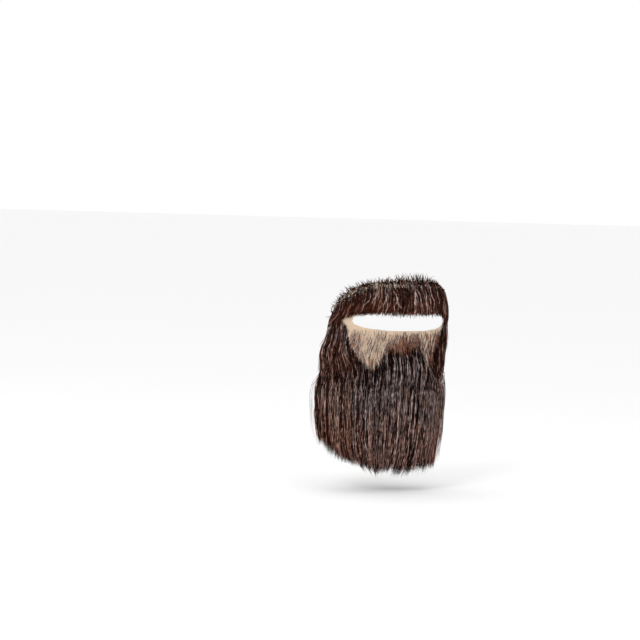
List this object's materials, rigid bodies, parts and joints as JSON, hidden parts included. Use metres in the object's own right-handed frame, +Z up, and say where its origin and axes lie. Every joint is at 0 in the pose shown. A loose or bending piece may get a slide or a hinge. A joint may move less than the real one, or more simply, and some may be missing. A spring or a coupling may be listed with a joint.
{
  "type": "fake beard",
  "caption": "Fake goatee of tied brown hair on a lace base: moustache, sides, lip patch and chin beard round an open mouth.",
  "frame": {"origin": "the point of the wearer's chin, on the skin side of the lace", "axes": "+Z up the face, -Y forwards out of the face, +X to the wearer's left; the beard is as worn"},
  "size_m": [0.0914, 0.0507, 0.1206],
  "materials": {
    "lace": "fine sheer beige net",
    "moustache": "dark brown hair, soft sheen",
    "right_side": "dark brown hair, soft sheen",
    "left_side": "dark brown hair, soft sheen",
    "lip_patch": "thin dark brown hair",
    "chin": "dark brown hair, soft sheen"
  },
  "bodies": {
    "root": {"lace_base": "lace", "moustache_hair": "moustache", "side_hair_right": "right_side", "side_hair_left": "left_side", "lip_patch_hair": "lip_patch", "chin_beard_hair": "chin"}
  },
  "joints": []
}
